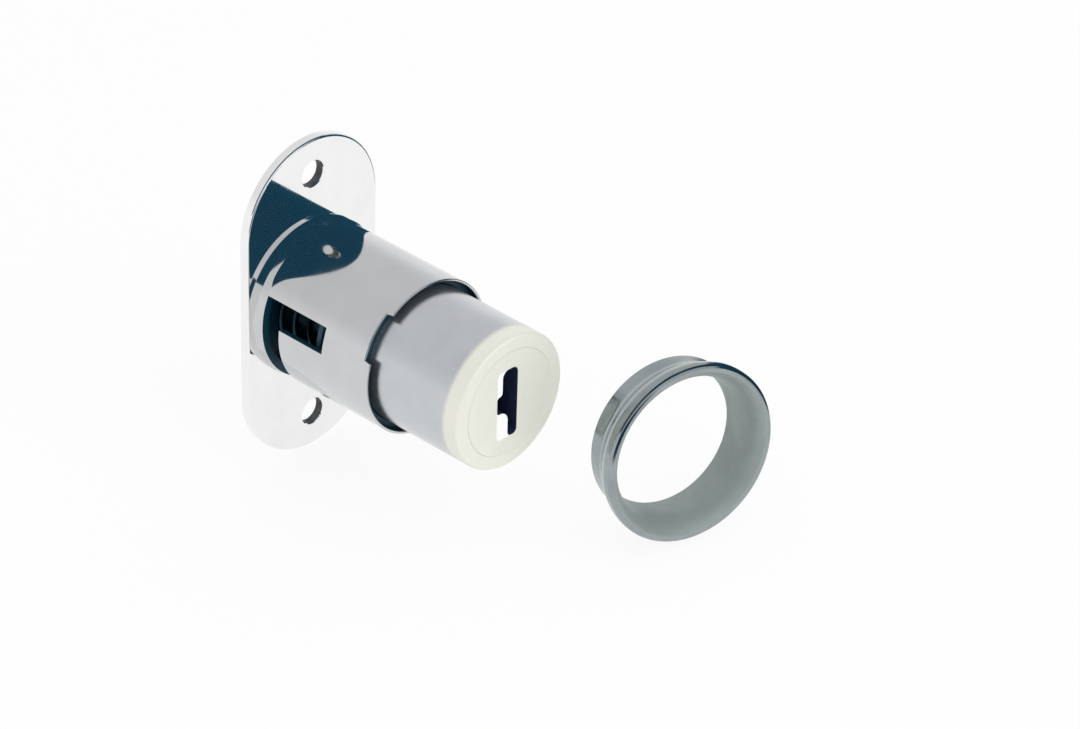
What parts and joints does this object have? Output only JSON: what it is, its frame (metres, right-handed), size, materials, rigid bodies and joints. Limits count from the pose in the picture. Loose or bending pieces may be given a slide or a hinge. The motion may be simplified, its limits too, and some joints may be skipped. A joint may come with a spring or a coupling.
{
  "type": "push button cabinet lock",
  "caption": "Push button lock for a cabinet door: a chrome barrel on an oval screw flange, a keyed button that drives a rear bolt, and a loose flared rosette.",
  "frame": {"origin": "centre of the flange's front face, on the barrel's axis", "axes": "barrel and button point along -Y, the bolt comes out along +Y, the flange stands along Z"},
  "size_m": [0.0377, 0.0483, 0.041],
  "materials": {
    "polished_chrome": "polished chrome plate on a zinc casting",
    "satin_chrome": "satin chrome plate",
    "satin_face": "satin nickel plate, slightly warm",
    "rosette_chrome": "bright chrome outside, satin inside",
    "black_steel": "blackened steel",
    "bright_steel": "bright steel",
    "spring_steel": "spring wire",
    "wafer_brass": "stamped brass",
    "bush_brass": "turned brass"
  },
  "bodies": {
    "lock_body": {"housing": "polished_chrome", "bolt_bush": "bush_brass", "stop_pin": "bright_steel", "return_spring": "spring_steel"},
    "button": {"button_sleeve": "satin_chrome"},
    "core": {"core_plug": "satin_face", "tongue_carrier": "black_steel", "tongue_spring": "spring_steel", "spring_seat": "black_steel", "bolt": "black_steel", "wafer_spring_1": "spring_steel", "wafer_spring_2": "spring_steel", "wafer_spring_3": "spring_steel", "wafer_spring_4": "spring_steel", "wafer_spring_5": "spring_steel"},
    "tongue": {"locking_tongue": "bright_steel"},
    "rosette_ring": {"rosette": "rosette_chrome"},
    "wafer_1": {"wafer_1": "wafer_brass"},
    "wafer_2": {"wafer_2": "wafer_brass"},
    "wafer_3": {"wafer_3": "wafer_brass"},
    "wafer_4": {"wafer_4": "wafer_brass"},
    "wafer_5": {"wafer_5": "wafer_brass"}
  },
  "joints": [
    {"name": "button_push", "type": "slide", "parent": "lock_body", "child": "button", "axis": [0, 1, 0], "range_m": [0, 0.0075], "stiffness_N_per_m": 400, "springref_m": -0.004, "deforming": ["return_spring"]},
    {"name": "core_turn", "type": "hinge", "parent": "button", "child": "core", "pos_m": [0, 0, 0], "axis": [0, -1, 0], "range_deg": [0, 90]},
    {"name": "tongue_slide", "type": "slide", "parent": "core", "child": "tongue", "axis": [-0.9588, 0, 0.284], "range_m": [0, 0.00114], "stiffness_N_per_m": 200, "springref_m": 0.002, "deforming": ["tongue_spring"]},
    {"name": "wafer_1_slide", "type": "slide", "parent": "core", "child": "wafer_1", "axis": [0, 0, 1], "range_m": [0, 0.0008], "stiffness_N_per_m": 100, "springref_m": 0.0012, "deforming": ["wafer_spring_1"]},
    {"name": "wafer_2_slide", "type": "slide", "parent": "core", "child": "wafer_2", "axis": [0, 0, 1], "range_m": [0, 0.0008], "stiffness_N_per_m": 100, "springref_m": 0.0012, "deforming": ["wafer_spring_2"]},
    {"name": "wafer_3_slide", "type": "slide", "parent": "core", "child": "wafer_3", "axis": [0, 0, 1], "range_m": [0, 0.0008], "stiffness_N_per_m": 100, "springref_m": 0.0012, "deforming": ["wafer_spring_3"]},
    {"name": "wafer_4_slide", "type": "slide", "parent": "core", "child": "wafer_4", "axis": [0, 0, 1], "range_m": [0, 0.0008], "stiffness_N_per_m": 100, "springref_m": 0.0012, "deforming": ["wafer_spring_4"]},
    {"name": "wafer_5_slide", "type": "slide", "parent": "core", "child": "wafer_5", "axis": [0, 0, 1], "range_m": [0, 0.0008], "stiffness_N_per_m": 100, "springref_m": 0.0012, "deforming": ["wafer_spring_5"]},
    {"name": "rosette_slide", "type": "slide", "parent": "lock_body", "child": "rosette_ring", "axis": [-0.2578, -0.9623, 0.0872], "range_m": [0, 0.02]}
  ]
}
